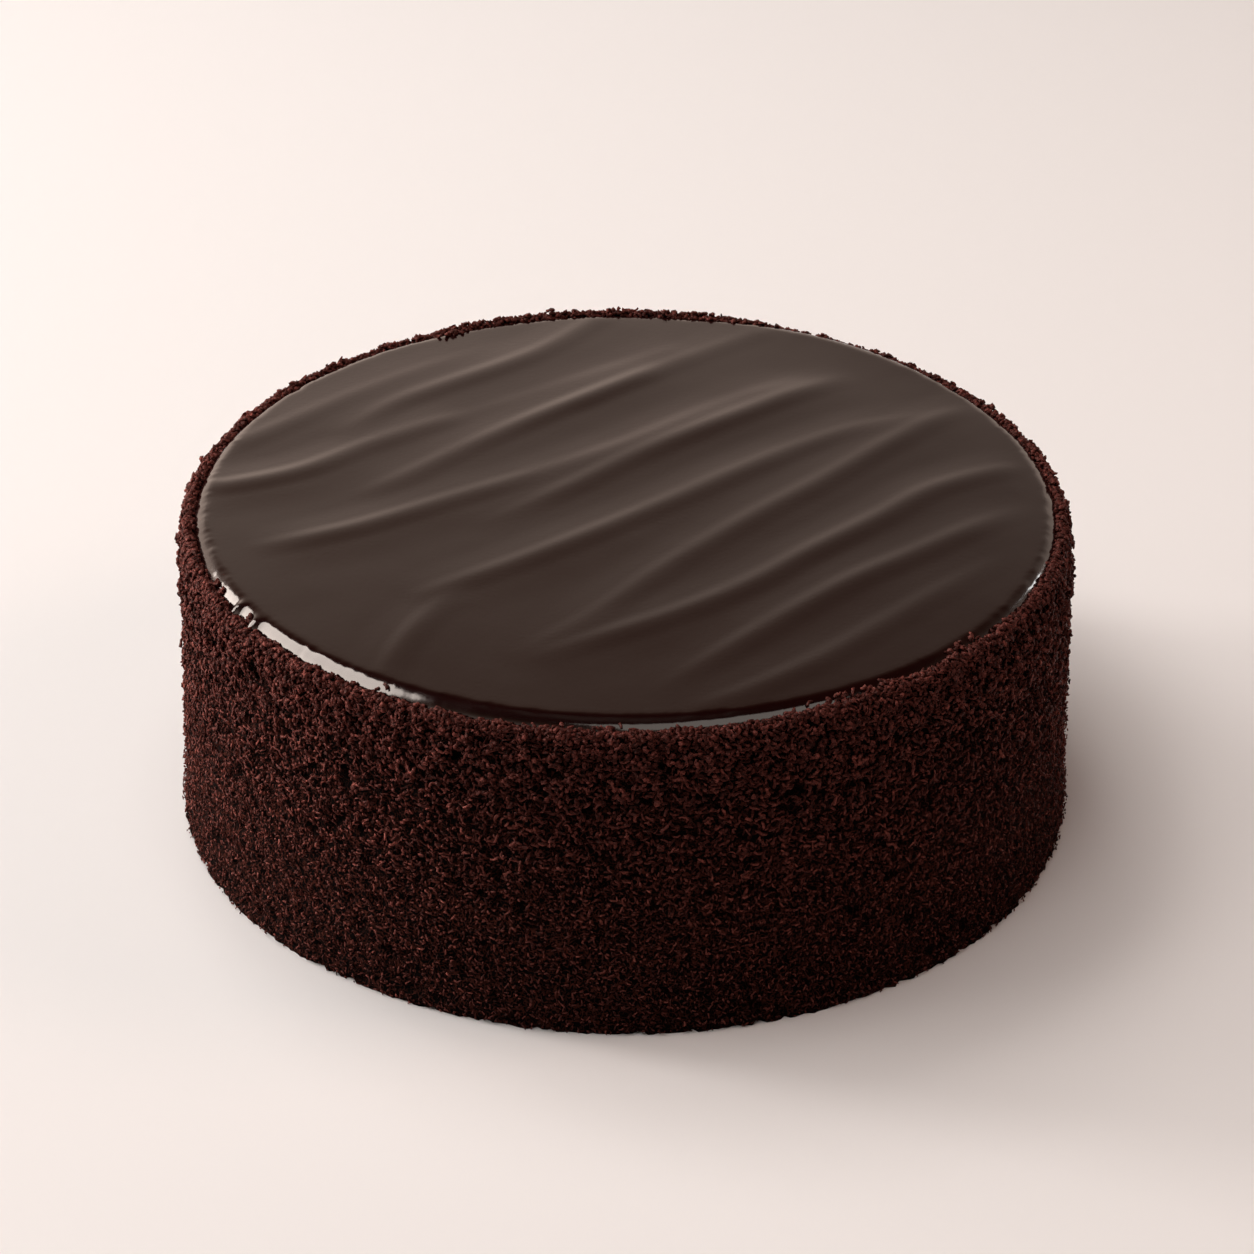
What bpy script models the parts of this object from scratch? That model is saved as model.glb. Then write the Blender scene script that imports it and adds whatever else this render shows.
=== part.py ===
"""A round, uncut fudge cake: a tall drum in a pressed-on coat of dark cake crumbs, with a chocolate
fudge icing on top that a palette knife has left in long, curved ridges.

Two solids, in metres, +Z up, with the origin at the middle of the base and the front at -Y:
  crumb_coated_cake  the drum, its coat as low relief, with the largest crumbs fused on
  fudge_icing        the icing, which lies in the shallow tray inside the rim of crumbs
"""

import math
import random

import bmesh
import bpy
import numpy as np
from mathutils import Vector
from mathutils.geometry import delaunay_2d_cdt

# Driving sizes
FOOT_RADIUS = 0.1060
SHOULDER_RADIUS = 0.1046
SHOULDER_Z = 0.056
WALL_BULGE_POWER = 1.5
SHOULDER_POWER = 4
RIM_RADIUS = 0.1020
RIM_TOP = 0.0762
RIM_BEVEL = 0.0010
ICING_RADIUS = 0.1005
ICING_TOP = 0.0767
ICING_DOME = 0.0007
ICING_THICKNESS = 0.0042
ICING_EDGE_ROUND = 0.0033
CLEARANCE = 0.0003
TRAY_RADIUS = ICING_RADIUS + 2 * CLEARANCE

# The crumb coat
AROUND_STEPS = 150
ROW_HEIGHT = 0.0042
RIM_ROW_SHARE = 0.3
COAT_RELIEF = 0.0009
COAT_SCATTER = 0.0010
RIM_SHARE = 0.4
CRUMB_SEED = 7
CRUMB_RADII = (0.0012, 0.0019)
CRUMB_GAP = 0.0003
CRUMB_RAGGEDNESS = 0.25
CRUMB_COUNT = 64
CRUMBS_ABOVE = 0.0725

# The icing's mesh: narrow across the ridges, long along them
RIDGE_HEADING = math.radians(38)
POINT_PITCH_ALONG = 0.0062
POINT_PITCH_ACROSS = 0.0025
ICING_EDGE_STEPS = 120
EDGE_ROUND_STEPS = 3
SHARP_ANGLE = math.radians(50)

# A ridge climbs on its left as the knife goes, and falls more slowly on its right. It stands on a wide,
# low foot, and its ends fade out where the crest is lower than about RIDGE_FADE.
RIDGE_RISE = 0.0046
RIDGE_FALL = 0.0074
RIDGE_FOOT_REACH = 2.6
RIDGE_FOOT_SHARE = 0.55
RIDGE_FADE = 0.00015

# The palette knife's strokes. Each point is x, y and the height of the crest there, in millimetres.
STROKES_MM = (
    ((-96, 24, 0.3), (-88, 32, 0.4), (-67, 53, 0.35), (-51, 67, 0.3), (-36, 78, 0.15), (-24, 87, 0)),
    ((-73, 28, 0), (-65, 37, 0.3), (-55, 50, 0.45), (-31, 70, 0.55), (-20, 81, 0.5), (-9, 96, 0.4)),
    (
        (-99, 5, 0.4), (-92, 6, 0.6), (-77, 13, 0.6), (-62, 26, 0.45), (-47, 37, 0.4), (-38, 42, 0.2),
        (-28, 49, 0.25), (-10, 63, 0.3), (7, 76, 0.2), (15, 83, 0),
    ),
    (
        (-65, -3, 0), (-53, 9, 0.35), (-38, 25, 0.5), (-23, 40, 0.65), (-11, 51, 0.8), (2, 63, 0.75),
        (12, 72, 0.4), (32, 89, 0.25),
    ),
    (
        (-88, -27, 0), (-79, -23, 0.3), (-71, -19.5, 0.5), (-60, -14, 0.55), (-40, -1, 0.45),
        (-20, 12, 0.4), (0, 27, 0.4), (14, 40, 0.35), (24, 49, 0.25), (36, 57, 0.25), (55, 65, 0),
    ),
    (
        (-36, -18, 0), (-16, 2, 0.4), (-1, 18, 0.55), (14, 32, 0.75), (29, 45, 0.75), (41, 55, 0.6),
        (57, 66, 0),
    ),
    ((-53, -84, 0.2), (-49.5, -70, 0.4), (-46, -60, 0.4), (-41, -51, 0.25), (-34, -44, 0)),
    (
        (-50, -50, 0), (-38, -41, 0.35), (-23, -30, 0.5), (-6, -16, 0.55), (11, -1, 0.55), (26, 13, 0.55),
        (41, 26, 0.45), (57, 37, 0.35), (77, 45, 0),
    ),
    (
        (-28, -78, 0), (-7, -55, 0.3), (6, -37, 0.4), (19, -21, 0.5), (31, -7, 0.55), (44, 7, 0.6),
        (56, 21, 0.6), (68, 35, 0.55), (76, 43, 0.4), (86, 49, 0),
    ),
    (
        (-25, -78, 0), (-6, -65, 0.4), (11, -54, 0.5), (28, -40, 0.6), (43, -24, 0.65), (58, -9, 0.65),
        (71, 5, 0.6), (87, 15, 0.4), (96, 16, 0),
    ),
    (
        (4, -91, 0), (19, -73, 0.35), (34, -56, 0.55), (50, -39, 0.65), (65, -26, 0.55), (80, -13, 0.45),
        (95, -2, 0),
    ),
    (
        (8, -98, 0), (24, -88, 0.35), (42, -73, 0.45), (57, -57, 0.4), (70, -43, 0.35), (84, -29, 0.15),
        (92, -21, 0),
    ),
)
POINTS_PER_SPAN = 6


def finish(name, colour, roughness):
    """A Principled material in one plain colour."""
    material = bpy.data.materials.new(name)
    material.use_nodes = True
    shader = material.node_tree.nodes["Principled BSDF"]
    shader.inputs["Base Color"].default_value = (*colour, 1.0)
    shader.inputs["Roughness"].default_value = roughness
    return material


def add_object(name, mesh, material, collection):
    obj = bpy.data.objects.new(name, mesh)
    mesh.materials.append(material)
    collection.objects.link(obj)
    return obj


def add_collection(name):
    collection = bpy.data.collections.new(name)
    bpy.context.scene.collection.children.link(collection)
    return collection


def coat_radius(height):
    """The outside radius at a height: a wall that sags wider at its foot, then a shoulder that rounds in."""
    if height < SHOULDER_Z:
        lean = (height / SHOULDER_Z) ** WALL_BULGE_POWER
        return FOOT_RADIUS - (FOOT_RADIUS - SHOULDER_RADIUS) * lean
    rise = (height - SHOULDER_Z) / (RIM_TOP - SHOULDER_Z)
    return SHOULDER_RADIUS - (SHOULDER_RADIUS - RIM_RADIUS) * rise**SHOULDER_POWER


def cake_profile():
    """(radius, height) from the tray's middle, out over the rim and down to the base."""
    tray_floor = ICING_TOP - ICING_THICKNESS - CLEARANCE
    points = [
        (0.0, tray_floor),
        (TRAY_RADIUS, tray_floor),
        (TRAY_RADIUS, RIM_TOP - RIM_BEVEL),
        (RIM_RADIUS, RIM_TOP),
    ]
    rows = round(RIM_TOP / ROW_HEIGHT)
    for row in (RIM_ROW_SHARE, *range(1, rows)):
        height = RIM_TOP * (1 - row / rows)
        points.append((coat_radius(height), height))
    return points + [(FOOT_RADIUS, 0.0), (0.0, 0.0)]


def solid_mesh(obj):
    """Gives obj the mesh that its modifiers make, in their place."""
    bpy.context.view_layer.update()
    graph = bpy.context.evaluated_depsgraph_get()
    mesh = bpy.data.meshes.new_from_object(obj.evaluated_get(graph))
    mesh.name = obj.name
    obj.modifiers.clear()
    obj.data = mesh


def roughen(mesh, draw):
    """Moves each point of the coat on its own, less on the rim. The tray and the base stay flat."""
    for point in mesh.vertices:
        outward = Vector((point.co.x, point.co.y, 0.0))
        if point.co.z <= 0.0 or outward.length < TRAY_RADIUS + CLEARANCE:
            continue
        outward.normalize()
        around = Vector((-outward.y, outward.x, 0.0))
        below_rim = (RIM_TOP - point.co.z) / ROW_HEIGHT
        reach = min(1.0, RIM_SHARE + below_rim)
        point.co += outward * draw.uniform(-COAT_RELIEF, COAT_RELIEF) * reach
        point.co += around * draw.uniform(-COAT_SCATTER, COAT_SCATTER) * reach
        point.co.z += draw.uniform(-COAT_SCATTER, COAT_SCATTER) * reach


def add_drum(material, collection, draw):
    """The turned drum with its rough coat."""
    mesh = bpy.data.meshes.new("crumb_coated_cake")
    corners = [(radius, 0.0, height) for radius, height in cake_profile()]
    mesh.from_pydata(corners, [(i, i + 1) for i in range(len(corners) - 1)], [])
    drum = add_object("crumb_coated_cake", mesh, material, collection)
    turn = drum.modifiers.new("turn", "SCREW")
    turn.steps = turn.render_steps = AROUND_STEPS
    turn.use_merge_vertices = True
    turn.merge_threshold = 0.00001
    turn.use_smooth_shade = False
    solid_mesh(drum)
    roughen(drum.data, draw)
    return drum


def ragged_crumb(radius, draw):
    """A closed 20-sided crumb, with each corner pulled in or out."""
    bm = bmesh.new()
    bmesh.ops.create_icosphere(bm, subdivisions=1, radius=radius)
    for corner in bm.verts:
        corner.co *= 1 + draw.uniform(-CRUMB_RAGGEDNESS, CRUMB_RAGGEDNESS)
    mesh = bpy.data.meshes.new("crumb")
    bm.to_mesh(mesh)
    bm.free()
    return mesh


def add_crumbs(drum, material, collection, draw):
    """The largest crumbs, half sunk in faces drawn at random from the rim, clear of each other."""
    rim = [f.center for f in drum.data.polygons if f.center.z > CRUMBS_ABOVE]
    placed = []
    while len(placed) < CRUMB_COUNT:
        size = draw.uniform(*CRUMB_RADII)
        reach = (1 + CRUMB_RAGGEDNESS) * size
        centre = draw.choice(rim)
        clear_of_icing = centre.xy.length - reach > ICING_RADIUS + CLEARANCE
        clear_of_others = all((centre - c).length > reach + r + CRUMB_GAP for c, r in placed)
        if clear_of_icing and clear_of_others:
            placed.append((centre, reach))
            crumb = add_object("crumb", ragged_crumb(size, draw), material, collection)
            crumb.location = centre


def fuse(obj, collection):
    """Joins a collection's objects onto obj, and removes them and the collection."""
    union = obj.modifiers.new("fused crumbs", "BOOLEAN")
    union.operation = "UNION"
    union.operand_type = "COLLECTION"
    union.collection = collection
    solid_mesh(obj)
    for helper in list(collection.objects):
        bpy.data.objects.remove(helper)
    bpy.data.collections.remove(collection)


def smooth_line(points):
    """Points along a Catmull-Rom curve through the given ones, with both ends."""
    p = np.array([2 * points[0] - points[1], *points, 2 * points[-1] - points[-2]])
    t = np.linspace(0, 1, POINTS_PER_SPAN, endpoint=False)[:, None]
    spans = [
        b + (c - a) * t / 2 + (2 * a - 5 * b + 4 * c - d) * t**2 / 2 + (3 * b - a - 3 * c + d) * t**3 / 2
        for a, b, c, d in zip(p, p[1:], p[2:], p[3:])
    ]
    return np.concatenate([*spans, points[-1:]])


def ridge_height(x, y, stroke):
    """How far one stroke lifts the icing at the points x, y."""
    line = smooth_line(np.array(stroke) / 1000)
    start, step = line[:-1], np.diff(line, axis=0)
    from_x, from_y = x[:, None] - start[:, 0], y[:, None] - start[:, 1]
    along = (from_x * step[:, 0] + from_y * step[:, 1]) / (step[:, :2] ** 2).sum(axis=1)
    along = np.clip(along, 0, 1)
    off_x, off_y = from_x - along * step[:, 0], from_y - along * step[:, 1]
    distance = np.hypot(off_x, off_y)
    nearest = (np.arange(len(x)), distance.argmin(axis=1))
    crest = np.maximum((start[:, 2] + along * step[:, 2])[nearest], 0)
    left = (step[:, 0] * off_y - step[:, 1] * off_x)[nearest] > 0
    away = distance[nearest] / np.where(left, RIDGE_RISE, RIDGE_FALL)
    near, foot = (np.clip(1 - (away / reach) ** 2, 0, 1) ** 3 for reach in (1, RIDGE_FOOT_REACH))
    crest = crest**2 / (crest + RIDGE_FADE)
    return crest * (RIDGE_FOOT_SHARE * foot + (1 - RIDGE_FOOT_SHARE) * near)


def icing_height(x, y):
    """The icing's top surface, gently domed and with all its ridges, at the points x, y."""
    dome = ICING_DOME * (1 - (x**2 + y**2) / (ICING_RADIUS - ICING_EDGE_ROUND) ** 2)
    return ICING_TOP + dome + sum(ridge_height(x, y, stroke) for stroke in STROKES_MM)


def lattice_points(limit):
    """Points inside a circle, in staggered rows that run along the ridges."""
    rows = int(limit / POINT_PITCH_ACROSS)
    columns = int(limit / POINT_PITCH_ALONG) + 1
    heading = Vector((math.cos(RIDGE_HEADING), math.sin(RIDGE_HEADING)))
    across = Vector((-heading.y, heading.x))
    points = []
    for row in range(-rows, rows + 1):
        for column in range(-columns, columns + 1):
            along = (column + 0.5 * (row % 2)) * POINT_PITCH_ALONG
            point = heading * along + across * (row * POINT_PITCH_ACROSS)
            if point.length < limit:
                points.append(point)
    return points


def add_icing(material, collection):
    """A disc with a ridged top, a rounded edge and a flat underside."""
    flat_radius = ICING_RADIUS - ICING_EDGE_ROUND
    turns = [2 * math.pi * i / ICING_EDGE_STEPS for i in range(ICING_EDGE_STEPS)]
    ring = [Vector((math.cos(a), math.sin(a))) * flat_radius for a in turns]
    points = ring + lattice_points(flat_radius - POINT_PITCH_ACROSS)
    points, _, faces, _, _, _ = delaunay_2d_cdt(points, [], [], 0, 1e-7)
    plan = np.array(points)
    heights = icing_height(plan[:, 0], plan[:, 1])

    bm = bmesh.new()
    corners = [bm.verts.new((x, y, z)) for (x, y), z in zip(plan, heights)]
    for face in faces:
        bm.faces.new([corners[i] for i in face])
    bm.normal_update()

    underside = ICING_TOP - ICING_THICKNESS
    edge = [e for e in bm.edges if e.is_boundary]
    for step in range(1, EDGE_ROUND_STEPS + 2):
        turned = bmesh.ops.extrude_edge_only(bm, edges=edge)["geom"]
        edge = [e for e in turned if isinstance(e, bmesh.types.BMEdge) and e.is_boundary]
        angle = math.pi / 2 * min(step / EDGE_ROUND_STEPS, 1)
        radius = flat_radius + ICING_EDGE_ROUND * math.sin(angle)
        for corner in {v for e in edge for v in e.verts}:
            outward = Vector((corner.co.x, corner.co.y)).normalized() * radius
            top = icing_height(*(np.array([c]) / radius * flat_radius for c in outward))[0]
            drop = ICING_EDGE_ROUND * (1 - math.cos(angle))
            height = underside if step > EDGE_ROUND_STEPS else top - drop
            corner.co = (outward.x, outward.y, height)
    bmesh.ops.edgeloop_fill(bm, edges=edge)
    bmesh.ops.recalc_face_normals(bm, faces=bm.faces)

    mesh = bpy.data.meshes.new("fudge_icing")
    bm.to_mesh(mesh)
    bm.free()
    mesh.shade_smooth()
    mesh.set_sharp_from_angle(angle=SHARP_ANGLE)
    return add_object("fudge_icing", mesh, material, collection)


for leftover in list(bpy.data.objects):
    bpy.data.objects.remove(leftover)

cake_parts = add_collection("fudge cake")
crumbs = add_collection("loose crumbs")
crumb_finish = finish("cake crumb", (0.030, 0.010, 0.008), 0.85)
icing_finish = finish("chocolate fudge", (0.022, 0.012, 0.009), 0.22)

draw = random.Random(CRUMB_SEED)
cake = add_drum(crumb_finish, cake_parts, draw)
add_crumbs(cake, crumb_finish, crumbs, draw)
fuse(cake, crumbs)
add_icing(icing_finish, cake_parts)
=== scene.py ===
"""The looks of a round, uncut chocolate fudge cake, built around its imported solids.

Metres, +Z up. The origin is in the middle of the cake's base, and the front, which the picture shows, is
at -Y. An azimuth is in degrees from +X towards +Y.
"""

import math

import bmesh
import bpy
import numpy as np
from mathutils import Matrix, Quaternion, Vector, noise
from mathutils.bvhtree import BVHTree


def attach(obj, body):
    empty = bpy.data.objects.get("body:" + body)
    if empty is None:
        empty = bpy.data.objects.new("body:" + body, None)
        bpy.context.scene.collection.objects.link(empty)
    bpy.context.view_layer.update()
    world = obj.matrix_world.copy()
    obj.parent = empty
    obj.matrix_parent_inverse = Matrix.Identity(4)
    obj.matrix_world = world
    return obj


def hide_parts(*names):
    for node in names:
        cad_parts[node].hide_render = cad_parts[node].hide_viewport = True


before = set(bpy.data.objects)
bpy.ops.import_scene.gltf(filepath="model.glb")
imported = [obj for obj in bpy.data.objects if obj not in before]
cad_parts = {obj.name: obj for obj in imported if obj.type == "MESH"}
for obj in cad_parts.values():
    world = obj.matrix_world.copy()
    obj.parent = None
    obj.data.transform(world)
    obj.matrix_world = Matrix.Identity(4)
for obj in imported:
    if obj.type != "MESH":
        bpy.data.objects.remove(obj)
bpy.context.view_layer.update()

# --- The cake under its crumbs -------------------------------------------------------------------
# Dark chocolate sponge under a thin coat of buttercream, the bed into which the crumbs are pressed. The
# finest of them are relief on it. It is one closed drum, lumpy where the crumbs clump, with a tray on
# top that holds the icing, and it fills the cake solid's place.

# The bare coat: its wall sags wider at the foot and leans in to the shoulder, which rounds in to the crest
foot_radius = 0.1057
wall_radius = 0.1040
crest_radius = 0.1010
shoulder_height = 0.055
crest_height = 0.0761
wall_sag = 1.5
shoulder_curve = 3
foot_spread = 0.0010
foot_spread_height = 0.014
wall_steps = 300

# The tray, and the points of its lip: how far out from the tray, and how far below the crest
tray_radius = 0.0996
tray_floor = 0.0715
lip_points = ((0.0001, 0.0014), (0.0005, 0.0004))

# Round the rim: azimuth, then how far the rim drops and moves out there, in millimetres. It is lowest
# where it lets the icing's edge show, from the left round to the front, and highest at the back.
rim_turns = np.array(
    (
        (0, 0.1, 0.1),
        (30, 0.2, 0.1),
        (44, 0.2, 0.2),
        (51, 0.4, 0.5),
        (65, 0.2, 0.4),
        (72, -0.9, -0.5),
        (80, -1.3, -0.9),
        (112, -1.2, -0.9),
        (120, -0.5, -0.5),
        (150, 0.2, 0.1),
        (180, 0.6, 0.8),
        (196, 0.9, 0.9),
        (212, 1.3, 0.9),
        (250, 1.2, 0.8),
        (266, 1.0, 0.8),
        (284, 0.8, 0.7),
        (295, 0.3, 0.4),
        (330, 0.0, 0.0),
    )
)
# How far below the crest the rim's turns still move the wall, and the run over which a slope is measured
rim_reach = 0.016
slope_run = 0.0006


def wall_radius_at(height):
    """The bare coat's radius at each height."""
    lean = np.clip(height / shoulder_height, 0, 1) ** wall_sag
    rise = np.clip((height - shoulder_height) / (crest_height - shoulder_height), 0, 1)
    wall = foot_radius - (foot_radius - wall_radius) * lean
    wall = wall + foot_spread * np.clip(1 - height / foot_spread_height, 0, 1)
    return wall - (wall_radius - crest_radius) * (1 - np.sqrt(1 - rise**shoulder_curve))


wall_heights = np.linspace(crest_height, 0, wall_steps)
section = np.concatenate(
    [
        [(tray_radius, tray_floor)],
        [(tray_radius + out, crest_height - down) for out, down in lip_points],
        np.column_stack([wall_radius_at(wall_heights), wall_heights]),
    ]
)
section_length = np.concatenate([[0], np.cumsum(np.hypot(*np.diff(section, axis=0).T))])
outline_length = section_length[-1]


def outline_at(along):
    """The radius and the height at distances along the coat's outline, from the tray's floor to the foot."""
    return (np.interp(along, section_length, section[:, i]) for i in (0, 1))


def coat_at(along, angle):
    """Points on the bare coat and the directions out of it, at distances along its outline."""
    radius, height = outline_at(along)
    radius_ahead, height_ahead = outline_at(along + slope_run)
    radius_behind, height_behind = outline_at(along - slope_run)
    rise, fall = radius_ahead - radius_behind, height_behind - height_ahead
    size = np.hypot(rise, fall)
    out, up = fall / size, rise / size
    turn = np.degrees(angle)
    drop, shift = (np.interp(turn, rim_turns[:, 0], rim_turns[:, i] / 1000, period=360) for i in (1, 2))
    near_rim = np.clip((height - crest_height) / rim_reach + 1, 0, 1) ** 2
    height, radius = height - drop * near_rim, radius + shift * near_rim
    points = np.column_stack([radius * np.cos(angle), radius * np.sin(angle), height])
    normals = np.column_stack([out * np.cos(angle), out * np.sin(angle), up])
    return points, normals


# Clumps of crumb: each kind's width and depth, and the gaps between them. The coarse clumps begin at
# coarse_from and are full coarse_over higher. The gaps end, and the relief eases, at the crest. A clump
# stands out where its noise is below clump_level, and a gap opens where its own is above gap_threshold.
clump_width = 0.0036
clump_depth = 0.0023
coarse_from = 0.025
coarse_over = 0.045
fine_clump_width = 0.0021
fine_clump_depth = 0.0012
clump_level = 0.45
gap_width = 0.0026
gap_depth = 0.0026
gap_threshold = 0.16
gaps_end = 0.0755
gaps_ease = 0.005
crest_relief = 0.55


def clumping(points):
    """How far the coat stands out at each point: clumps, coarse near the rim and fine below, and gaps."""
    coarse_share = np.clip((points[:, 2] - coarse_from) / coarse_over, 0, 1)
    gap_share = np.clip((gaps_end - points[:, 2]) / gaps_ease, 0, 1)
    depth = np.empty(len(points))
    for i, point in enumerate(points):
        place = Vector(point)
        coarse = clump_level - noise.voronoi(place / clump_width)[0][0]
        fine = clump_level - noise.voronoi(place / fine_clump_width)[0][0]
        gap = max(0.0, noise.noise(place / gap_width) - gap_threshold)
        clumps = coarse_share[i] * clump_depth * coarse + fine_clump_depth * fine
        depth[i] = clumps - gap_depth * gap * gap_share[i]
    return depth * (crest_relief + (1 - crest_relief) * gap_share)


def linear(hex_colour):
    """An sRGB hex colour as linear RGBA."""
    parts = [int(hex_colour[i : i + 2], 16) / 255 for i in (0, 2, 4)]
    return (*[c / 12.92 if c <= 0.04045 else ((c + 0.055) / 1.055) ** 2.4 for c in parts], 1.0)


def add_node(material, kind, links=(), **settings):
    """A new node with its settings; links are (input name, a node's output or a value)."""
    node = material.node_tree.nodes.new(kind)
    for name, value in settings.items():
        setattr(node, name, value)
    for socket, source in links:
        if isinstance(source, bpy.types.NodeSocket):
            material.node_tree.links.new(source, node.inputs[socket])
        else:
            node.inputs[socket].default_value = source
    return node


def mesh_of(name, points, faces):
    """A smooth-shaded mesh from arrays of points and of equal-sided faces."""
    mesh = bpy.data.meshes.new(name)
    sides = faces.shape[1]
    mesh.vertices.add(len(points))
    mesh.vertices.foreach_set("co", points.astype(np.float32).ravel())
    mesh.loops.add(faces.size)
    mesh.loops.foreach_set("vertex_index", faces.astype(np.int32).ravel())
    mesh.polygons.add(len(faces))
    mesh.polygons.foreach_set("loop_start", np.arange(0, faces.size, sides, dtype=np.int32))
    mesh.update(calc_edges=True)
    mesh.shade_smooth()
    return mesh


def add_piece(name, mesh, material):
    """An object of that mesh, which rides on the cake's one body."""
    piece = bpy.data.objects.new(name, mesh)
    piece.data.materials.append(material)
    bpy.context.scene.collection.objects.link(piece)
    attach(piece, "root")
    return piece


# The bed is a grid round the coat, sunk a little so that the crumbs lie on it. Its colour is darkened by
# painted shade, deep between the clumps, at the foot and on the upper wall: (depths or heights, shares of
# its colour).
outline_rows = 90
outline_columns = 600
bed_sink = 0.0004
bed_gap_shades = ((-0.0016, -0.0002), (0.15, 1.0))
bed_shades = ((0.0, 0.006, 0.025, 0.050), (0.4, 0.5, 0.6, 0.45))

along = np.repeat(np.linspace(0, outline_length, outline_rows), outline_columns)
angle = np.tile(np.arange(outline_columns) * math.tau / outline_columns, outline_rows)
points, normals = coat_at(along, angle)
bed_relief = clumping(points)
# Painted shade on the bed, by its depth between the clumps and by its height
bed_light = np.interp(bed_relief, *bed_gap_shades) * np.interp(points[:, 2], *bed_shades)
points += normals * (bed_relief - bed_sink)[:, None]
points[:, 2] = np.maximum(points[:, 2], 0)
points[-outline_columns:, 2] = 0
middles = [(0, 0, tray_floor), (0, 0, 0)]

row = np.arange(outline_rows - 1)[:, None] * outline_columns
column = np.arange(outline_columns)
after = (column + 1) % outline_columns
below = row + outline_columns
walls = np.stack([row + column, below + column, below + after, row + after], -1).reshape(-1, 4)
halves = np.concatenate([walls[:, [0, 1, 2]], walls[:, [0, 2, 3]]])
tray_middle = np.full(outline_columns, len(points))
foot_row = (outline_rows - 1) * outline_columns
tray = np.column_stack([tray_middle, column, after])
base = np.column_stack([tray_middle + 1, foot_row + after, foot_row + column])
bed_mesh = mesh_of("crumb_bed", np.concatenate([points, middles]), np.concatenate([halves, tray, base]))
shade = bed_mesh.attributes.new("shade", "FLOAT", "POINT")
shade.data.foreach_set("value", np.append(bed_light, (0, 0)).astype(np.float32))

# Cake crumb too fine to be lumps of its own, pressed flat: dull, dark red-brown curls, with painted shade
# that makes the gaps between them near-black. The real curls are 0.4 mm wide, too fine to show in the
# render, so they are drawn as the ridges of a noise 0.9 mm apart. A noise 3 mm across mottles them, as the
# hand presses unevenly.
curl_spacing = 0.0009
mottle_width = 0.0030
curl_relief = 0.0005
bed_material = bpy.data.materials.new("pressed chocolate crumb")
bed_material.use_nodes = True
bed_shader = bed_material.node_tree.nodes["Principled BSDF"]
place = add_node(bed_material, "ShaderNodeTexCoord").outputs["Object"]
curls = add_node(
    bed_material,
    "ShaderNodeTexNoise",
    [
        ("Vector", place),
        ("Scale", 1 / curl_spacing),
        ("Detail", 1),
        ("Roughness", 0.4),
        ("Distortion", 0.6),
        ("Offset", 1),
    ],
    noise_type="RIDGED_MULTIFRACTAL",
)
relief = add_node(
    bed_material,
    "ShaderNodeMapRange",
    [("Value", curls.outputs["Fac"]), ("From Min", 0.72), ("From Max", 1.0)],
    interpolation_type="SMOOTHSTEP",
)
patches = add_node(
    bed_material, "ShaderNodeTexNoise", [("Vector", place), ("Scale", 1 / mottle_width), ("Detail", 2)]
)
patch_share = add_node(
    bed_material,
    "ShaderNodeMapRange",
    [
        ("Value", patches.outputs["Fac"]),
        ("From Min", 0.3),
        ("From Max", 0.7),
        ("To Min", 0.75),
        ("To Max", 1.1),
    ],
)
lit = add_node(
    bed_material,
    "ShaderNodeMath",
    [(0, relief.outputs["Result"]), (1, patch_share.outputs["Result"])],
    operation="MULTIPLY",
)
# Near-black where the curls' relief is low: painted shade in the gaps between them
bed_colours = add_node(bed_material, "ShaderNodeValToRGB", [("Fac", lit.outputs["Value"])])
ramp = bed_colours.color_ramp.elements
ramp[0].color = linear("050101")
ramp[-1].color = linear("5b2d24")
for stop, colour in ((0.3, "0b0302"), (0.7, "2f1510")):
    ramp.new(stop).color = linear(colour)
# The bed's painted shade, by depth and height, from its shade attribute
shades = add_node(bed_material, "ShaderNodeAttribute", attribute_name="shade")
bed_colour = add_node(
    bed_material,
    "ShaderNodeVectorMath",
    [(0, bed_colours.outputs["Color"]), (3, shades.outputs["Fac"])],
    operation="SCALE",
)
bumps = add_node(
    bed_material,
    "ShaderNodeBump",
    [("Height", relief.outputs["Result"]), ("Strength", 1), ("Distance", curl_relief)],
)
bed_material.node_tree.links.new(bed_colour.outputs["Vector"], bed_shader.inputs["Base Color"])
bed_material.node_tree.links.new(bumps.outputs["Normal"], bed_shader.inputs["Normal"])
bed_shader.inputs["Roughness"].default_value = 0.8
bed_shader.inputs["Specular IOR Level"].default_value = 0.02

bed = add_piece("crumb_bed", bed_mesh, bed_material)
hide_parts("crumb_coated_cake")

# --- The crumbs ----------------------------------------------------------------------------------
# Dry crumbs of devil's food cake, rubbed through a sieve and pressed on by hand: nodules round the rim,
# curls and grains down the wall, finer towards the foot. Each is a small closed lump of its own, curled
# and uneven, with its own random tone, darkened by painted shade deep between the clumps, near the foot
# and towards the crest.

crumb_seed = 11
draw = np.random.default_rng(crumb_seed)

# The depths between which the crumbs thin out, in the gaps of the bed
gap_thinning = (-0.0020, -0.0006)
# How large the crumbs are at each height, and their painted shade: at each height, darker near the foot and
# towards the crest, and at each depth, darker deep between the clumps
crumb_sizes = ((0.0, 0.07), (0.75, 1.0))
crumb_shades = ((0.0, 0.02, 0.05, 0.07), (0.58, 0.84, 0.71, 0.49))
gap_shades = ((-0.0018, 0.0003), (0.10, 1.07))
# How a crumb's path turns, all one way and from ring to ring, in radians, and how steeply it goes up and
# down from ring to ring and all along
curl = 0.5
wander = 0.3
bob = 0.25
usual_lift = 0.35
# How unequal a crumb's rings and corners are, and how long its tips are beside its other steps
ring_swell = (0.72, 1.28)
corner_swell = (0.85, 1.15)
tip_share = 0.45
# How near the floor a crumb may come
floor_gap = 0.0001


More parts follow.
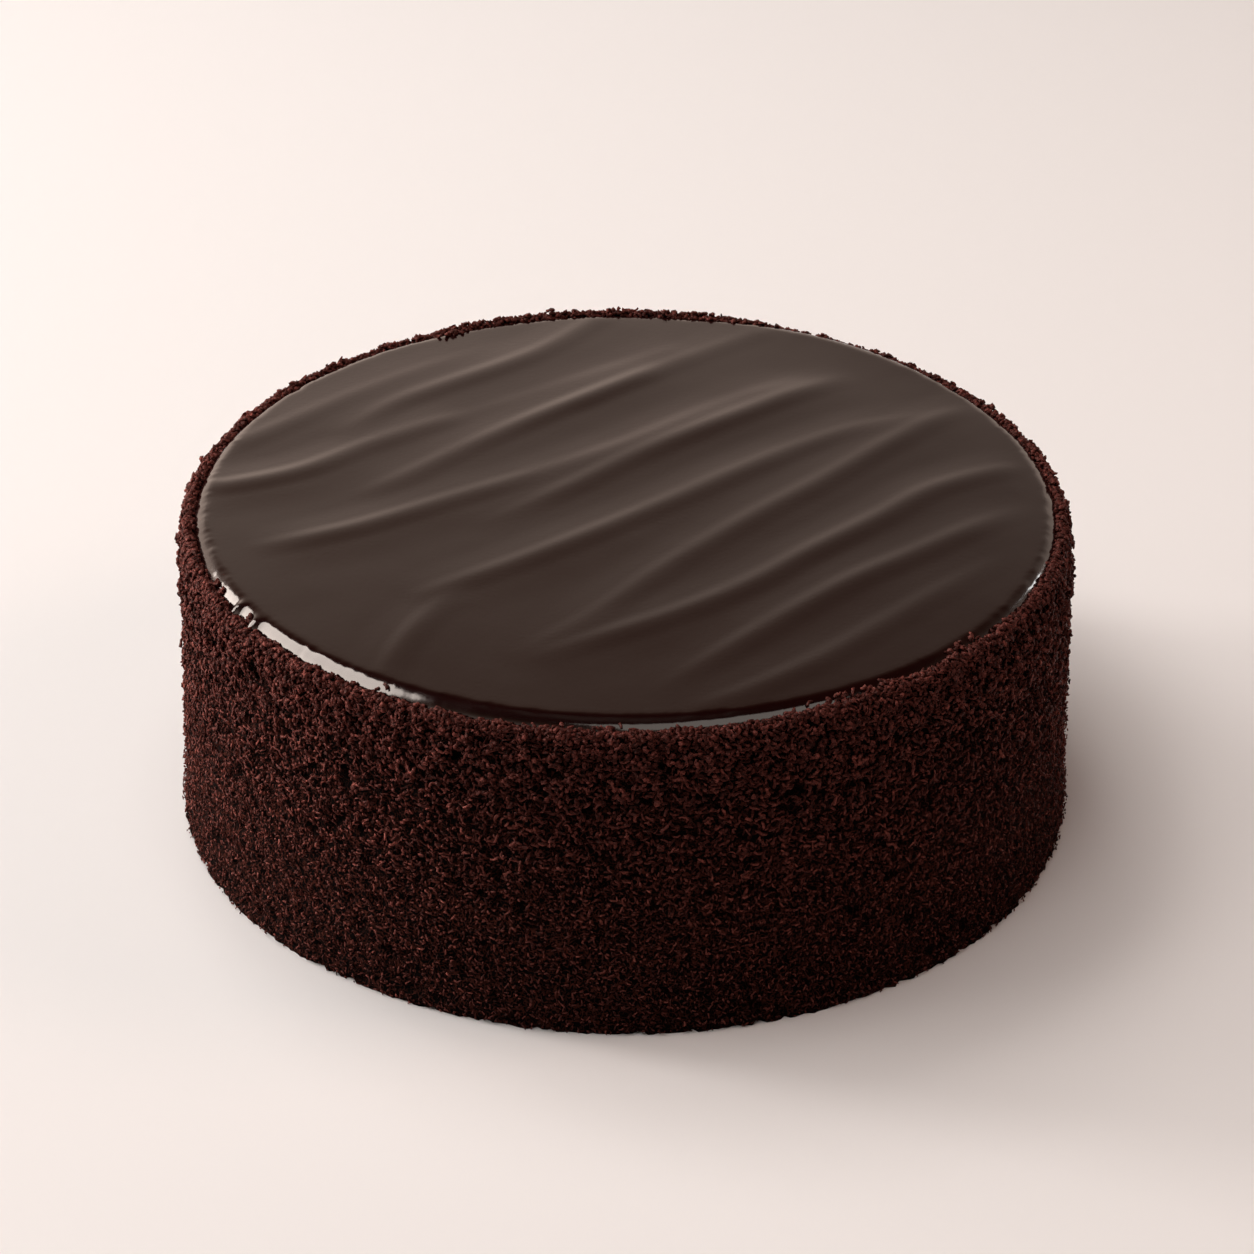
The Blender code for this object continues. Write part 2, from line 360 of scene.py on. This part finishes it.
def crumb_faces(rings, sides):
    """The triangles of a crumb: rings of that many sides between two tips."""
    first = np.arange(sides) + 1
    second = np.roll(first, -1)
    tip, end = np.zeros(sides, int), np.full(sides, rings * sides + 1)
    faces = [(tip, second, first)]
    for ring in range(rings - 1):
        a, b = first + ring * sides, second + ring * sides
        faces += [(a, b, b + sides), (a, b + sides, a + sides)]
    last = (rings - 1) * sides
    return np.concatenate([np.column_stack(f) for f in [*faces, (end, first + last, second + last)]])


def crumbs_mesh(name, centres, normals, depths, thickness, length, rings, sides, lift=usual_lift):
    """Crumbs lying on the coat as one mesh. Sizes are (least, most), and lift is how steeply they tip."""
    count = len(centres)
    size = np.interp(centres[:, 2], *crumb_sizes)
    half_width = draw.uniform(*thickness, count) * size / 2
    reach = np.maximum(draw.uniform(*length, count) * size, 2 * half_width)
    beside = np.cross(normals, (0, 0, 1.0))
    beside /= np.linalg.norm(beside, axis=1)[:, None]
    above = np.cross(beside, normals)

    # A path of one step for each ring, and one for the tip, that turns as it goes
    stops = rings + 2
    heading = draw.uniform(0, math.tau, count)[:, None] + np.cumsum(
        draw.normal(0, curl, (count, 1)) + draw.normal(0, wander, (count, stops)), axis=1
    )
    rise = draw.uniform(-lift, lift, count)[:, None] + draw.normal(0, bob, (count, stops))
    share = np.full(stops, 1.0)
    share[[0, 1, -1]] = (0, tip_share, tip_share)
    step = share / share.sum() * reach[:, None]
    ways = (
        np.cos(heading)[..., None] * beside[:, None]
        + np.sin(heading)[..., None] * above[:, None]
        + rise[..., None] * normals[:, None]
    )
    ways /= np.linalg.norm(ways, axis=2)[..., None]
    path = np.cumsum(ways * step[..., None], axis=1)
    path += (centres - path.mean(axis=1))[:, None]

    # Rings of corners round the path, square to each way
    across = np.cross(ways[:, 1:-1], normals[:, None])
    across /= np.linalg.norm(across, axis=2)[..., None]
    out = np.cross(across, ways[:, 1:-1])
    turns = np.arange(sides) * math.tau / sides + draw.uniform(0, math.tau, (count, 1, 1))
    swell = half_width[:, None, None] * draw.uniform(*ring_swell, (count, rings, 1))
    swell = swell * draw.uniform(*corner_swell, (count, rings, sides))
    sideways, outwards = np.cos(turns) * swell, np.sin(turns) * swell
    ring = across[:, :, None] * sideways[..., None] + out[:, :, None] * outwards[..., None]
    ring = (ring + path[:, 1:-1, None]).reshape(count, rings * sides, 3)
    corners = np.concatenate([path[:, :1], ring, path[:, -1:]], axis=1)
    corners[..., 2] = np.maximum(corners[..., 2], floor_gap)

    faces = crumb_faces(rings, sides)
    each = corners.shape[1]
    joined = (faces[None] + np.arange(count)[:, None, None] * each).reshape(-1, 3)
    mesh = mesh_of(name, corners.reshape(-1, 3), joined)
    # Each crumb's colour index: a random tone times painted shade, darker near the foot, towards the crest
    # and deep between the clumps
    tint_and_shade = mesh.attributes.new("tint_and_shade", "FLOAT", "POINT")
    shade = np.interp(centres[:, 2], *crumb_shades) * np.interp(depths, *gap_shades)
    tint_and_shade.data.foreach_set("value", np.repeat(draw.random(count) * shade, each).astype(np.float32))
    return mesh


def crumb_places(outline, pitch, depth, fades):
    """Crumb centres on the clumped coat, its normals there and the depths, one in each cell of a grid.

    outline is a stretch of the coat's outline, and fades are the heights at which the crumbs have all
    gone and are all there. Few lie in the deep gaps.
    """
    start, end = outline
    rows = max(1, round((end - start) / pitch))
    columns = round(math.tau * wall_radius / pitch)
    row, column = np.divmod(np.arange(rows * columns), columns)
    along = start + (row + draw.random(len(row))) * (end - start) / rows
    points, normals = coat_at(along, (column + draw.random(len(row))) * math.tau / columns)
    share = (0, 1) if fades[0] < fades[1] else (1, 0)
    kept = draw.random(len(points)) < np.interp(points[:, 2], sorted(fades), share)
    points, normals = points[kept], normals[kept]
    relief = clumping(points)
    kept = relief > draw.uniform(*gap_thinning, len(relief))
    points, normals, relief = points[kept], normals[kept], relief[kept]
    offset = relief + draw.uniform(*depth, len(relief))
    return points + normals * offset[:, None], normals, offset


# Baked chocolate crumb: dry and porous, so it scatters light and has next to no gloss, with only faint
# glints of fat. Each crumb is dark or middling red-brown by its own random tone and painted shade, and its
# pores mottle it with painted shade in their dips and painted highlights on their tops. The real pores are
# 0.1 to 0.3 mm wide, too fine to show in the render, so they are drawn 0.87 mm apart.
pores_per_metre = 1150
pore_relief = 0.0008
crumb_material = bpy.data.materials.new("devil's food cake crumb")
crumb_material.use_nodes = True
crumb_shader = crumb_material.node_tree.nodes["Principled BSDF"]
place = add_node(crumb_material, "ShaderNodeTexCoord").outputs["Object"]
# Each crumb's random tone, darkened by its painted shade
tint_and_shade = add_node(crumb_material, "ShaderNodeAttribute", attribute_name="tint_and_shade")
tints = add_node(crumb_material, "ShaderNodeValToRGB", [("Fac", tint_and_shade.outputs["Fac"])])
ramp = tints.color_ramp.elements
ramp[0].color = linear("35140f")
ramp[-1].color = linear("8b4f44")
for stop, colour in ((0.35, "572a24"), (0.75, "733b32"), (0.96, "8b4f44")):
    ramp.new(stop).color = linear(colour)
pores = add_node(
    crumb_material, "ShaderNodeTexNoise", [("Vector", place), ("Scale", pores_per_metre), ("Detail", 2)]
)
# Painted shade in the pores' dips and painted highlights on their tops, from the same noise as the bump
pore_shade_and_highlight = add_node(
    crumb_material,
    "ShaderNodeMapRange",
    [
        ("Value", pores.outputs["Fac"]),
        ("From Min", 0.3),
        ("From Max", 0.7),
        ("To Min", 0.35),
        ("To Max", 1.7),
    ],
)
crumb_colour = add_node(
    crumb_material,
    "ShaderNodeVectorMath",
    [(0, tints.outputs["Color"]), (3, pore_shade_and_highlight.outputs["Result"])],
    operation="SCALE",
)
bumps = add_node(
    crumb_material,
    "ShaderNodeBump",
    [("Height", pores.outputs["Fac"]), ("Strength", 1), ("Distance", pore_relief)],
)
crumb_material.node_tree.links.new(crumb_colour.outputs["Vector"], crumb_shader.inputs["Base Color"])
crumb_material.node_tree.links.new(bumps.outputs["Normal"], crumb_shader.inputs["Normal"])
crumb_shader.inputs["Roughness"].default_value = 0.45
crumb_shader.inputs["Specular IOR Level"].default_value = 0.05


def add_crumbs(name, outline, pitch, depth, fades, thickness, length, rings, sides, lift=usual_lift):
    """One kind of crumb, on one stretch of the coat, as one piece."""
    places = crumb_places(outline, pitch, depth, fades)
    mesh = crumbs_mesh(name, *places, thickness, length, rings, sides, lift)
    add_piece(name, mesh, crumb_material)


# Nodules that lie close together and flat on the crest, and on the shoulder below it
add_crumbs(
    "crest_nodules",
    outline=(0.0026, 0.0075),
    pitch=0.00098,
    depth=(-0.0004, 0.0002),
    fades=(0.052, 0.072),
    thickness=(0.0009, 0.0014),
    length=(0.0012, 0.0018),
    rings=2,
    sides=4,
    lift=0.15,
)
add_crumbs(
    "rim_nodules",
    outline=(0.0070, 0.024),
    pitch=0.00132,
    depth=(-0.0004, 0.0006),
    fades=(0.052, 0.072),
    thickness=(0.0008, 0.0013),
    length=(0.0010, 0.0017),
    rings=2,
    sides=4,
)

# Curls: long thin crumbs, coarse on the upper wall and fine on the lower wall, down to just off the floor
foot_clearance = 0.0004
foot = outline_length - foot_clearance
add_crumbs(
    "coarse_curls",
    outline=(0.0058, 0.048),
    pitch=0.00161,
    depth=(-0.0005, 0.0006),
    fades=(0.034, 0.064),
    thickness=(0.0006, 0.00095),
    length=(0.0016, 0.0032),
    rings=4,
    sides=3,
)
add_crumbs(
    "upper_curls",
    outline=(0.0064, 0.055),
    pitch=0.00171,
    depth=(-0.0005, 0.0005),
    fades=(0.018, 0.045),
    thickness=(0.00045, 0.0007),
    length=(0.0012, 0.0027),
    rings=3,
    sides=3,
)
add_crumbs(
    "lower_curls",
    outline=(0.028, foot),
    pitch=0.00165,
    depth=(-0.0003, 0.0004),
    fades=(0.052, 0.032),
    thickness=(0.0004, 0.00065),
    length=(0.0011, 0.0025),
    rings=3,
    sides=3,
)

# Short grains between the curls
add_crumbs(
    "upper_crumbs",
    outline=(0.0064, 0.048),
    pitch=0.00200,
    depth=(-0.0005, 0.0004),
    fades=(0.026, 0.046),
    thickness=(0.0005, 0.0008),
    length=(0.0007, 0.0015),
    rings=2,
    sides=3,
)
add_crumbs(
    "lower_crumbs",
    outline=(0.030, foot),
    pitch=0.00174,
    depth=(-0.0003, 0.0004),
    fades=(0.050, 0.036),
    thickness=(0.0004, 0.0007),
    length=(0.0006, 0.0013),
    rings=2,
    sides=3,
)

# --- The icing -----------------------------------------------------------------------------------
# Chocolate fudge, poured warm and spread with a palette knife, which leaves ridges that climb slowly and
# drop quickly. It fills the tray, domes a little, and rounds over at its edge, where it sets in small
# waves and puckers.

icing_radius = 0.1011
icing_top = 0.0774
icing_floor = 0.0706
dome = 0.0007
edge_round = 0.0046
edge_first_tilt = math.radians(11)

# The surface's faint, slow swells: each one's width, the level at which its noise is cut, and its share
swells = ((0.011, 0.5, 1), (0.026, 9, 2))
swell_height = 0.000015

# The grid: its cells on a side, how much of it the flat top takes, and where it is drawn closer together,
# which is where the edge shows
icing_cells = 204
top_share = 0.80
crowded_at = math.radians(215)
crowding = 0.35

# The waves of the edge. Each is a noise read round a circle whose radius is so many of its cells, which
# makes a cell 6 mm or 1.7 mm long at the edge, and it moves the edge so far in or out. They fade within
# wave_width of the edge, and past a drop of wave_drop the share side_waves of them is left.
flow_cells, flow_reach = 17, 0.0007
fray_cells, fray_reach = 60, 0.0004
wave_width = 0.004
wave_drop = 0.0006
side_waves = 0.3

# Where the knife pushed the edge out and up: azimuth, then how far it went out and up, in millimetres. It
# begins push_from from the middle and is full push_over further out.
edge_spread = np.array(
    ((36, 0.0, 0.0), (46, 0.6, 0.3), (54, 1.0, 0.4), (64, 1.0, 0.4), (72, 0.4, 0.2), (80, 0.0, 0.0))
)
push_from = 0.075
push_over = 0.024

# Where the set edge has puckered: azimuth, then each pucker's width and how far it stands out, in
# millimetres. They begin pucker_drop below the top.
edge_puckers = ((210.9, 0.9, 1.7), (215.3, 1.5, 1.5), (225.0, 0.8, -0.15), (229.0, 2.0, -0.10))
pucker_drop = 0.0004

# A ridge: the share of a stroke's height that it has, its half-widths on its steep and its gentle side,
# the height below which it fades out, and the broader, lower foot under its crest
ridge_scale = 0.86
ridge_rise = 0.0046
ridge_fall = 0.0074
ridge_fade = 0.00015
foot_reach = 2.6
foot_share = 0.55
points_per_span = 6

# The palette knife's strokes. Each point is x, y and the height of the crest there, in millimetres, and
# all of them are moved by stroke_shift.
stroke_shift = (0.0003, -0.0006, 0)
strokes_mm = (
    ((-96, 24, 0.3), (-88, 32, 0.4), (-67, 53, 0.35), (-51, 67, 0.3), (-36, 78, 0.15), (-24, 87, 0)),
    ((-73, 28, 0), (-65, 37, 0.3), (-55, 50, 0.45), (-31, 70, 0.55), (-20, 81, 0.5), (-9, 96, 0.4)),
    (
        (-99, 5, 0.4), (-92, 6, 0.6), (-77, 13, 0.6), (-62, 26, 0.45), (-47, 37, 0.4), (-38, 42, 0.2),
        (-28, 49, 0.25), (-10, 63, 0.3), (7, 76, 0.2), (15, 83, 0),
    ),
    (
        (-65, -3, 0), (-53, 9, 0.35), (-38, 25, 0.5), (-23, 40, 0.65), (-11, 51, 0.8), (2, 63, 0.75),
        (12, 72, 0.4), (32, 89, 0.25),
    ),
    (
        (-88, -27, 0), (-79, -23, 0.3), (-71, -19.5, 0.5), (-60, -14, 0.55), (-40, -1, 0.45),
        (-20, 12, 0.4), (0, 27, 0.4), (14, 40, 0.35), (24, 49, 0.25), (36, 57, 0.25), (55, 65, 0),
    ),
    (
        (-36, -18, 0), (-16, 2, 0.4), (-1, 18, 0.55), (14, 32, 0.75), (29, 45, 0.75), (41, 55, 0.6),
        (57, 66, 0),
    ),
    ((-53, -84, 0.2), (-49.5, -70, 0.4), (-46, -60, 0.4), (-41, -51, 0.25), (-34, -44, 0)),
    (
        (-50, -50, 0), (-38, -41, 0.35), (-23, -30, 0.5), (-6, -16, 0.55), (11, -1, 0.55), (26, 13, 0.55),
        (41, 26, 0.45), (57, 37, 0.35), (77, 45, 0),
    ),
    (
        (-28, -78, 0), (-7, -55, 0.3), (6, -37, 0.4), (19, -21, 0.5), (31, -7, 0.55), (44, 7, 0.6),
        (56, 21, 0.6), (68, 35, 0.55), (76, 43, 0.4), (86, 49, 0),
    ),
    (
        (-25, -78, 0), (-6, -65, 0.4), (11, -54, 0.5), (28, -40, 0.6), (43, -24, 0.65), (58, -9, 0.65),
        (71, 5, 0.6), (87, 15, 0.4), (96, 16, 0),
    ),
    (
        (4, -91, 0), (19, -73, 0.35), (34, -56, 0.55), (50, -39, 0.65), (65, -26, 0.55), (80, -13, 0.45),
        (95, -2, 0),
    ),
    (
        (8, -98, 0), (24, -88, 0.35), (42, -73, 0.45), (57, -57, 0.4), (70, -43, 0.35), (84, -29, 0.15),
        (92, -21, 0),
    ),
)


def smooth_line(points):
    """Points on a smooth curve through the given ones (a Catmull-Rom spline)."""
    p = np.array([2 * points[0] - points[1], *points, 2 * points[-1] - points[-2]])
    t = np.linspace(0, 1, points_per_span, endpoint=False)[:, None]
    spans = [
        b + (c - a) * t / 2 + (2 * a - 5 * b + 4 * c - d) * t**2 / 2 + (3 * b - a - 3 * c + d) * t**3 / 2
        for a, b, c, d in zip(p, p[1:], p[2:], p[3:])
    ]
    return np.concatenate([*spans, points[-1:]])


def ridge_height(x, y, stroke):
    """How far one stroke lifts the icing at the points x, y: a narrow crest on a broad, low foot."""
    line = smooth_line(np.array(stroke) / 1000 + stroke_shift)
    start, step = line[:-1], np.diff(line, axis=0)
    from_x, from_y = x[:, None] - start[:, 0], y[:, None] - start[:, 1]
    along = (from_x * step[:, 0] + from_y * step[:, 1]) / (step[:, :2] ** 2).sum(axis=1)
    along = np.clip(along, 0, 1)
    off_x, off_y = from_x - along * step[:, 0], from_y - along * step[:, 1]
    distance = np.hypot(off_x, off_y)
    nearest = (np.arange(len(x)), distance.argmin(axis=1))
    crest = (start[:, 2] + along * step[:, 2])[nearest]
    steep_side = (step[:, 0] * off_y - step[:, 1] * off_x)[nearest] > 0
    away = distance[nearest] / np.where(steep_side, ridge_rise, ridge_fall)
    near, foot = (np.clip(1 - (away / reach) ** 2, 0, 1) ** 3 for reach in (1, foot_reach))
    crest = np.maximum(crest, 0) * ridge_scale
    return crest**2 / (crest + ridge_fade) * (foot_share * foot + (1 - foot_share) * near)


def waves_round(turn, cells):
    """A noise at each turn round the cake, read on a circle whose radius is that many of its cells."""
    return np.array([noise.noise(Vector((math.cos(a), math.sin(a), 0)) * cells) for a in turn])


def swells_at(x, y):
    """How far the swells lift the poured surface at the points x, y, as a share of their height."""
    lift = np.zeros(len(x))
    for width, level, share in swells:
        lift += share * np.array([noise.noise(Vector((u, v, level)) / width) for u, v in zip(x, y)])
    return lift


# A square grid drawn out into a disc: its rings are circles, from the middle to the foot of the edge
side = np.linspace(-1, 1, icing_cells + 1)
across, deep = (g.ravel() for g in np.meshgrid(side, side))
ring = np.maximum(abs(across), abs(deep))
wider = abs(across) > abs(deep)
with np.errstate(divide="ignore", invalid="ignore"):
    turn = np.where(wider, deep / across * math.pi / 4, math.pi / 2 - across / deep * math.pi / 4)
turn = np.nan_to_num(turn) + np.where(np.where(wider, across < 0, deep < 0), math.pi, 0)
turn = turn - crowding * np.sin(turn - crowded_at)

# How far each ring lies from the middle, measured over the edge and down its side, and so how far it drops
flat = icing_radius - edge_round * (1 - math.sin(edge_first_tilt))
edge_length = edge_round * (math.pi / 2 - edge_first_tilt)
side_drop = icing_top - dome - edge_round - icing_floor
past_top = (ring - top_share) / (1 - top_share) * (edge_length + side_drop)
outward = np.where(ring < top_share, ring / top_share * flat, flat + past_top)
over = edge_first_tilt + np.clip((outward - flat) / edge_length, 0, 1) * (math.pi / 2 - edge_first_tilt)
beyond = outward > flat
radius = np.where(beyond, icing_radius - edge_round * (1 - np.sin(over)), outward)
drop = np.where(beyond, edge_round * (math.cos(edge_first_tilt) - np.cos(over)), 0)
drop = drop + np.clip(outward - flat - edge_length, 0, side_drop)

# The waves, the puckers and the push of the knife at the edge
border = flow_reach * waves_round(turn, flow_cells) + fray_reach * waves_round(turn, fray_cells)
near_border = np.clip(1 - abs(radius - flat) / wave_width, 0, 1)
radius = radius + border * near_border * (1 - (1 - side_waves) * np.clip(drop / wave_drop, 0, 1))
puckered = np.clip(drop / pucker_drop, 0, 1)
for azimuth, width, out in edge_puckers:
    gap = (turn - math.radians(azimuth) + math.pi) % math.tau - math.pi
    radius = radius + out / 1000 * np.exp(-((gap * icing_radius / (width / 1000)) ** 2)) * puckered
pushed, piled = (
    np.interp(np.degrees(turn), edge_spread[:, 0], edge_spread[:, i] / 1000, period=360) for i in (1, 2)
)
near_edge = np.clip((radius - push_from) / push_over, 0, 1) ** 2
radius = radius + pushed * near_edge
x, y = radius * np.cos(turn), radius * np.sin(turn)

# The heights: the dome and its swells, less the drop, with the ridges running out to the edge
inner = np.minimum(radius, flat) / np.maximum(radius, 1e-9)
ridges = sum(ridge_height(x * inner, y * inner, stroke) for stroke in strokes_mm)
heights = icing_top - dome * (inner * radius / flat) ** 2 - drop + swell_height * swells_at(x, y)
heights = heights + ridges * np.clip(1 - drop / edge_round, 0, 1) + piled * near_edge
points = np.column_stack([x, y, heights])
cell = np.arange((icing_cells + 1) ** 2).reshape(icing_cells + 1, -1)
quads = np.stack([cell[:-1, :-1], cell[:-1, 1:], cell[1:, 1:], cell[1:, :-1]], -1).reshape(-1, 4)
icing_mesh = mesh_of("fudge_icing_spread", points, quads)
bm = bmesh.new()
bm.from_mesh(icing_mesh)
bmesh.ops.edgeloop_fill(bm, edges=[e for e in bm.edges if e.is_boundary])
bmesh.ops.recalc_face_normals(bm, faces=bm.faces)
bm.to_mesh(icing_mesh)
bm.free()
icing_mesh.shade_smooth()

# Fudge of cocoa, butter and sugar, poured and left to set: near-black brown with a sharp satin gloss that
# mirrors the studio, a little duller in patches 11 mm across. Its IOR is that of sugar and cocoa butter,
# about 1.5. Its crystals dimple the skin too finely to show, so the dimples are drawn 0.91 mm apart.
patches_per_metre = 90
dimples_per_metre = 1100
dimple_relief = 0.00004
icing_material = bpy.data.materials.new("set chocolate fudge")
icing_material.use_nodes = True
icing_shader = icing_material.node_tree.nodes["Principled BSDF"]
place = add_node(icing_material, "ShaderNodeTexCoord").outputs["Object"]
skin = add_node(
    icing_material, "ShaderNodeTexNoise", [("Vector", place), ("Scale", patches_per_metre), ("Detail", 3)]
)
satin = add_node(
    icing_material,
    "ShaderNodeMapRange",
    [
        ("Value", skin.outputs["Fac"]),
        ("From Min", 0.3),
        ("From Max", 0.7),
        ("To Min", 0.10),
        ("To Max", 0.15),
    ],
)
crystals = add_node(
    icing_material, "ShaderNodeTexNoise", [("Vector", place), ("Scale", dimples_per_metre), ("Detail", 2)]
)
dimples = add_node(
    icing_material,
    "ShaderNodeBump",
    [("Height", crystals.outputs["Fac"]), ("Strength", 0.25), ("Distance", dimple_relief)],
)
icing_shader.inputs["Base Color"].default_value = linear("190605")
icing_material.node_tree.links.new(satin.outputs["Result"], icing_shader.inputs["Roughness"])
icing_material.node_tree.links.new(dimples.outputs["Normal"], icing_shader.inputs["Normal"])
icing_shader.inputs["IOR"].default_value = 1.5

icing = add_piece("fudge_icing_spread", icing_mesh, icing_material)
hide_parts("fudge_icing")

# --- The crumbs on the icing's edge --------------------------------------------------------------
# Crumbs of the same cake that fell on the icing's edge while it was soft, and stuck there in clusters.
# They are a piece of their own, dropped on the icing from above, each leaning out a little.

# Each cluster: azimuth and spread, how far in it reaches in millimetres, and how many crumbs it has
clusters = (
    (300, 9, 2.5, 60),
    (318, 6, 3.2, 70),
    (338, 8, 1.2, 30),
    (28, 16, 1.4, 60),
    (49, 4, 1.0, 30),
    (58, 1.2, 0.8, 8),
    (64, 1.8, 1.6, 24),
    (69, 1.2, 1.2, 8),
    (80, 8, 3.4, 90),
    (98, 16, 2.2, 90),
    (112, 8, 2.8, 60),
    (117, 2.5, 4.8, 36),
    (127, 9, 2.0, 60),
    (205, 2, 1.6, 14),
    (214, 1.2, 1.8, 12),
    (238, 1.5, 2.0, 14),
    (262, 12, 1.5, 44),
)
# The radius from which they reach in, how they thin out inward, how far the highest rest above the
# icing, which way they lean, and the height from which they drop
outermost = 0.1016
thinning_inward = 1.5
most_proud = 0.0006
lean_out, lean_up = 0.3, 0.954
drop_from = 0.1
straight_down = Vector((0, 0, -1))

icing_surface = BVHTree.FromPolygons([tuple(p) for p in points], [tuple(q) for q in quads])
landed = []
leans = []
for azimuth, spread, reach, count in clusters:
    for turn, inward in zip(draw.normal(azimuth, spread / 2, count), draw.random(count) ** thinning_inward):
        edge = outermost + np.interp(turn, edge_spread[:, 0], edge_spread[:, 1]) / 1000
        radius = edge - reach / 1000 * inward
        east, north = math.cos(math.radians(turn)), math.sin(math.radians(turn))
        overhead = Vector((radius * east, radius * north, drop_from))
        spot = icing_surface.ray_cast(overhead, straight_down)[0]
        if spot:
            landed.append((*spot[:2], spot[2] + draw.uniform(0.0, most_proud)))
            leans.append((lean_out * east, lean_out * north, lean_up))
edge_mesh = crumbs_mesh(
    "edge_crumbs",
    np.array(landed),
    np.array(leans),
    depths=np.zeros(len(landed)),
    thickness=(0.0007, 0.0012),
    length=(0.0010, 0.0028),
    rings=3,
    sides=4,
)
add_piece("edge_crumbs", edge_mesh, crumb_material)

# --- The studio ----------------------------------------------------------------------------------
# A sweep of pale paper, lit from the left by a big softbox. The paper is brightest low down behind the
# cake and falls away to near black overhead, which is what the icing mirrors.

# Seamless paper: uncoated, so it is matt, and a very light warm grey
floor_half = 6.0
floor_corners = [(x, y, 0) for x, y in ((-1, -1), (1, -1), (1, 1), (-1, 1))]
floor_mesh = bpy.data.meshes.new("floor")
floor_mesh.from_pydata([floor_half * Vector(corner) for corner in floor_corners], [], [(0, 1, 2, 3)])
floor = bpy.data.objects.new("floor", floor_mesh)
bpy.context.scene.collection.objects.link(floor)
floor_material = bpy.data.materials.new("studio paper")
floor_material.use_nodes = True
floor_shader = floor_material.node_tree.nodes["Principled BSDF"]
floor_shader.inputs["Base Color"].default_value = linear("eee5e0")
floor_shader.inputs["Roughness"].default_value = 0.9
floor_shader.inputs["Specular IOR Level"].default_value = 0.1
floor_mesh.materials.append(floor_material)

# The sweep as the icing mirrors it: its colour at each height, as the sine of the elevation, and brighter
# on the left. A faint glow at the very top lets the icing's ridges show from straight above. The sweep
# doesn't light the scene, which the softboxes do.
world = bpy.data.worlds.new("studio")
bpy.context.scene.world = world
world.use_nodes = True
background = world.node_tree.nodes["Background"]
way = add_node(world, "ShaderNodeTexCoord")
parts = add_node(world, "ShaderNodeSeparateXYZ", [("Vector", way.outputs["Generated"])])
sweep = add_node(world, "ShaderNodeValToRGB", [("Fac", parts.outputs["Z"])])
stops = sweep.color_ramp.elements
stops[0].color = linear("f9e0cf")
stops[-1].color = linear("625a52")
for height, colour in (
    (0.26, "f9e0cf"),
    (0.326, "efd6c6"),
    (0.391, "cdb8aa"),
    (0.469, "b2a093"),
    (0.53, "8f7d70"),
    (0.602, "736255"),
    (0.669, "524438"),
    (0.743, "322820"),
    (0.819, "18120d"),
    (0.90, "000000"),
    (0.95, "0c0a09"),
):
    stops.new(height).color = linear(colour)
sideways = add_node(
    world,
    "ShaderNodeMapRange",
    [
        ("Value", parts.outputs["X"]),
        ("From Min", -0.12),
        ("From Max", 0.12),
        ("To Min", 1.64),
        ("To Max", 0.9),
    ],
)
world.node_tree.links.new(sweep.outputs["Color"], background.inputs["Color"])
world.node_tree.links.new(sideways.outputs["Result"], background.inputs["Strength"])
world.cycles_visibility.diffuse = False


def add_softbox(name, azimuth, elevation, distance, size, watts, hex_colour="ffffff"):
    """An area lamp that faces the cake, and that the icing doesn't mirror. Its size is (width, height)."""
    lamp = bpy.data.lights.new(name, "AREA")
    lamp.shape = "RECTANGLE"
    lamp.size, lamp.size_y = size
    lamp.energy = watts
    lamp.color = linear(hex_colour)[:3]
    box = bpy.data.objects.new(name, lamp)
    a, e = math.radians(azimuth), math.radians(elevation)
    box.location = distance * Vector((math.cos(a) * math.cos(e), math.sin(a) * math.cos(e), math.sin(e)))
    box.rotation_euler = box.location.to_track_quat("Z", "Y").to_euler()
    box.visible_glossy = False
    bpy.context.scene.collection.objects.link(box)
    return box


def only_mirrored(box):
    """Leaves a lamp only to be mirrored in the icing."""
    box.visible_diffuse = False
    box.visible_glossy = True


# The big octagonal softbox on the left, whose highlight runs along the icing's edge there
mirrored_distance = 1.5
octabox = add_softbox("octagonal softbox", 175, 30, mirrored_distance, (1.72, 1.72), 85, "fff1e7")
octabox.data.shape = "DISK"
only_mirrored(octabox)

# The light itself: a strong low key from the left, and weak light from most sides and above. Each lamp:
# azimuth, elevation, side in metres, watts and colour.
lamp_distance = 1.8
for name, azimuth, elevation, lamp_side, watts, colour in (
    ("low key left", 165, 7, 0.35, 37, "ffffff"),
    ("low side left", 180, 7, 0.35, 4, "ffffff"),
    ("back left", 150, 40, 0.7, 6.8, "ffffff"),
    ("high back left", 120, 62, 0.7, 7.0, "ffffff"),
    ("high left", 180, 62, 0.7, 7.6, "ffffff"),
    ("high front left", 240, 62, 0.7, 4.9, "ffffff"),
    ("overhead", 0, 90, 0.7, 4.7, "ffffff"),
    ("side right", 0, 40, 0.7, 6, "ffe0d2"),
):
    add_softbox(name, azimuth, elevation, lamp_distance, (lamp_side, lamp_side), watts, colour)

# Two white cards, which put the highlights on the icing's edge at the front and at the right
only_mirrored(add_softbox("overhead card", 300, 50, mirrored_distance, (1.34, 0.8), 8, "fff3e8"))
only_mirrored(add_softbox("right card", 38, 23, mirrored_distance, (0.07, 0.2), 0.5))

# The camera stands where the photograph was taken from, rolled a little as it was
camera_distance = 0.9114
camera_elevation = math.radians(32.36)
camera_roll = math.radians(0.43)
look_at = Vector((0.0003, 0, 0.0416))
camera_data = bpy.data.cameras.new("camera")
camera_data.sensor_width = 36
camera_data.lens = 107.3
camera = bpy.data.objects.new("camera", camera_data)
camera.location = (
    look_at.x,
    -camera_distance * math.cos(camera_elevation),
    camera_distance * math.sin(camera_elevation),
)
aim = (camera.location - look_at).to_track_quat("Z", "Y")
camera.rotation_euler = (aim @ Quaternion((0, 0, 1), camera_roll)).to_euler()
bpy.context.scene.collection.objects.link(camera)
bpy.context.scene.camera = camera
bpy.context.scene.view_settings.view_transform = "Standard"
